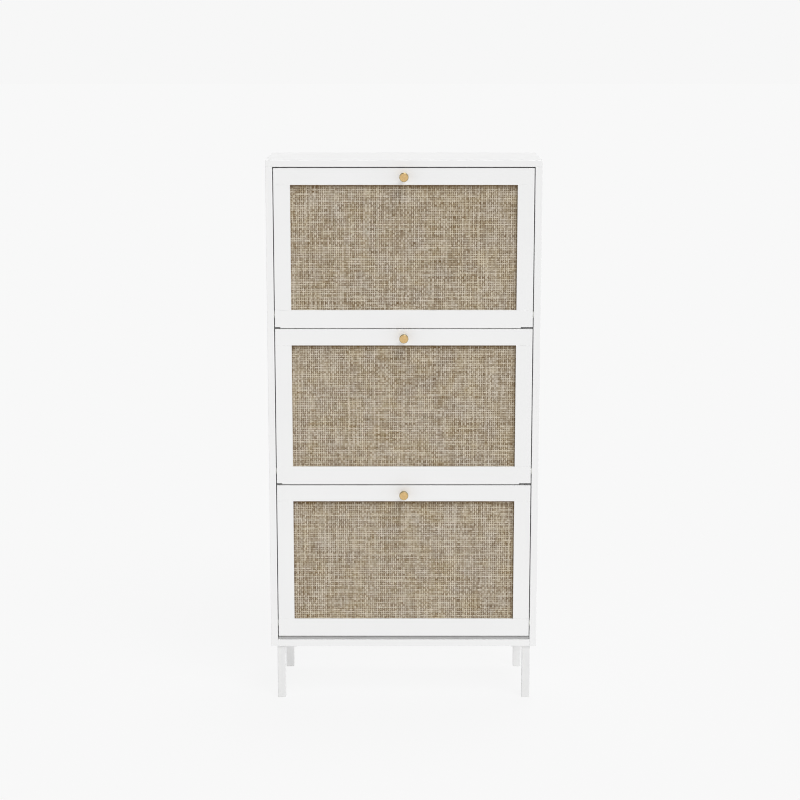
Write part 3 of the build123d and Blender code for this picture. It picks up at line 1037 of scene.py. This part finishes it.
@dataclass
class BumperStrip:
    """A low moulded strip on the bottom board, just behind the gap under the lower flap.

    set_back is counted from the board's front edge, and end_gap from each side panel. The
    smaller squareness is, the squarer the strip's section.
    """

    set_back: float = 5.0 * MM
    depth: float = 8.0 * MM
    height: float = 5.9 * MM
    end_gap: float = 1.0 * MM
    squareness: float = 0.45
    profile_points: int = 32
    finish: GrainyCoat = GrainyCoat(
        "Bumper_Plastic", (0.540, 0.540, 0.537), (0.500, 0.500, 0.497)
    )

    def build(self) -> bpy.types.Object:
        """Makes the strip and sets it on the bottom board.

        Its section runs once round the angle t: y is the middle plus half the depth times
        cos t to the power of squareness, with its sign, and z is the board's top plus the
        height times sin t to the same power, or 0 where sin t is negative.

        Returns:
            The strip's object.
        """
        low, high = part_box("bottom_panel")
        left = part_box("left_side_panel")[1][0] + self.end_gap
        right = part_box("right_side_panel")[0][0] - self.end_gap
        turn = np.linspace(0.0, 2 * np.pi, self.profile_points, endpoint=False)
        cosine, sine = np.cos(turn), np.maximum(np.sin(turn), 0.0)
        middle = low[1] + self.set_back + self.depth / 2
        y = middle + self.depth / 2 * np.sign(cosine) * np.abs(cosine) ** self.squareness
        z = high[2] + self.height * sine**self.squareness
        ends = [np.stack([np.full_like(y, x), y, z], -1) for x in (left, right)]
        first = np.arange(self.profile_points)
        second = np.roll(first, -1)
        sides = np.stack([first, second, second + len(first), first + len(first)], -1)
        caps = [first[::-1].tolist(), (first + len(first)).tolist()]
        mesh = bpy.data.meshes.new("bumper_strip")
        mesh.from_pydata(np.concatenate(ends).tolist(), [], sides.tolist() + caps)
        mesh.validate()
        strip = bpy.data.objects.new("bumper_strip", mesh)
        bpy.context.scene.collection.objects.link(strip)
        mesh.materials.append(self.finish.material())
        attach(strip, "cabinet")
        LOG.info("laid %s, %.0f mm long", strip.name, (right - left) / MM)
        return strip


# Stage.


@dataclass(frozen=True)
class Lamp:
    """A soft far light, with its height and its bearing from the front in degrees."""

    name: str
    strength: float
    softness: float
    elevation: float
    azimuth: float

    def hang(self) -> None:
        """Hangs the light."""
        light = bpy.data.lights.new(self.name, "SUN")
        light.energy = self.strength
        light.angle = math.radians(self.softness)
        lamp = bpy.data.objects.new(self.name, light)
        bpy.context.scene.collection.objects.link(lamp)
        lamp.rotation_euler = (
            math.radians(90.0 - self.elevation),
            0.0,
            math.radians(self.azimuth),
        )


@dataclass
class Studio:
    """A pale floor that runs out of sight, a pale sky and two soft lamps.

    Lengths are in metres, angles in degrees, and the lens and sensor in millimetres. The sky
    is as bright as horizon up to fade_from and dims to zenith at fade_to. camera_distance is
    counted from the boards' front faces.
    """

    floor_half: float = 40.0
    floor_colour: Colour = (0.05, 0.05, 0.05)
    floor_glow: float = 0.885
    horizon: float = 0.93
    fade_from: float = 8.0
    fade_to: float = 50.0
    zenith: float = 0.05
    lamps: tuple[Lamp, ...] = (
        Lamp("Key_Light", strength=1.66, softness=28.0, elevation=56.0, azimuth=32.0),
        Lamp("Top_Light", strength=1.28, softness=20.0, elevation=76.0, azimuth=160.0),
    )
    bounces: int = 12
    filter_width: float = 1.1
    camera_height: float = 1.529
    camera_distance: float = 4.252
    camera_pitch: float = 11.14
    camera_side: float = -0.0084
    lens: float = 88.155
    sensor: float = 36.0

    def floor(self) -> None:
        """Lays the floor, a plain square at z = 0 whose glow keeps the shadows faint."""
        h = self.floor_half
        corners = np.array([(-h, -h, 0), (h, -h, 0), (h, h, 0), (-h, h, 0)], float)
        floor = mesh_object("studio_floor", corners, np.array([[0, 1, 2, 3]]), smooth=False)
        sheet = ShaderSheet("Studio_Floor")
        floor.data.materials.append(
            sheet.finish(
                Base_Color=(*self.floor_colour, 1.0),
                Roughness=0.9,
                Specular_IOR_Level=0.0,
                Emission_Color=(1.0, 1.0, 1.0, 1.0),
                Emission_Strength=self.floor_glow,
            )
        )

    def world(self) -> None:
        """Sets a sky that is as pale as the floor low down and dimmer overhead."""
        world = bpy.data.worlds.new("Studio_Sky")
        world.use_nodes = True
        tree = world.node_tree
        direction = tree.nodes.new("ShaderNodeTexCoord").outputs["Generated"]
        height = tree.nodes.new("ShaderNodeSeparateXYZ")
        fade = tree.nodes.new("ShaderNodeMapRange")
        fade.interpolation_type = "SMOOTHSTEP"
        fade.inputs["From Min"].default_value = math.sin(math.radians(self.fade_from))
        fade.inputs["From Max"].default_value = math.sin(math.radians(self.fade_to))
        fade.inputs["To Min"].default_value = self.horizon
        fade.inputs["To Max"].default_value = self.zenith
        tree.nodes["Background"].inputs["Color"].default_value = (1.0, 1.0, 1.0, 1.0)
        tree.links.new(direction, height.inputs["Vector"])
        tree.links.new(height.outputs["Z"], fade.inputs["Value"])
        tree.links.new(fade.outputs["Result"], tree.nodes["Background"].inputs["Strength"])
        bpy.context.scene.world = world

    def camera(self, front: float) -> None:
        """Sets the camera in front of the cabinet, looking down a little.

        Args:
            front: The y of the boards' front faces.
        """
        data = bpy.data.cameras.new("Camera")
        data.lens = self.lens
        data.sensor_width = self.sensor
        camera = bpy.data.objects.new("Camera", data)
        bpy.context.scene.collection.objects.link(camera)
        camera.location = (self.camera_side, front - self.camera_distance, self.camera_height)
        camera.rotation_euler = (math.radians(90.0 - self.camera_pitch), 0.0, 0.0)
        bpy.context.scene.camera = camera

    def build(self, front: float) -> None:
        """Makes the whole stage.

        Args:
            front: The y of the boards' front faces.
        """
        scene = bpy.context.scene
        scene.view_settings.view_transform = "Standard"
        scene.cycles.diffuse_bounces = self.bounces
        scene.cycles.filter_width = self.filter_width
        self.floor()
        self.world()
        for lamp in self.lamps:
            lamp.hang()
        self.camera(front)
        LOG.info("set the stage")


def clear_startup_scene() -> None:
    """Removes the objects that a new file starts with."""
    for piece in list(bpy.data.objects):
        bpy.data.objects.remove(piece, do_unlink=True)


def main() -> None:
    """Builds the cabinet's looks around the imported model."""
    logging.basicConfig(level=logging.INFO, format="%(name)s: %(message)s")
    clear_startup_scene()
    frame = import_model()
    slots = {part["node"]: part["material_slot"] for part in frame["record"]["subparts"]}
    Studio().build(front=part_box("left_side_panel")[0][1])
    Dressing().dress(frame["nodes"], slots)
    for seed, flap in enumerate(FlapName, start=11):
        Knob(flap).dress(frame["nodes"])
        WovenCloth(flap, seed).build()
    BumperStrip().build()
    bpy.context.view_layer.update()


if __name__ == "__main__":
    main()
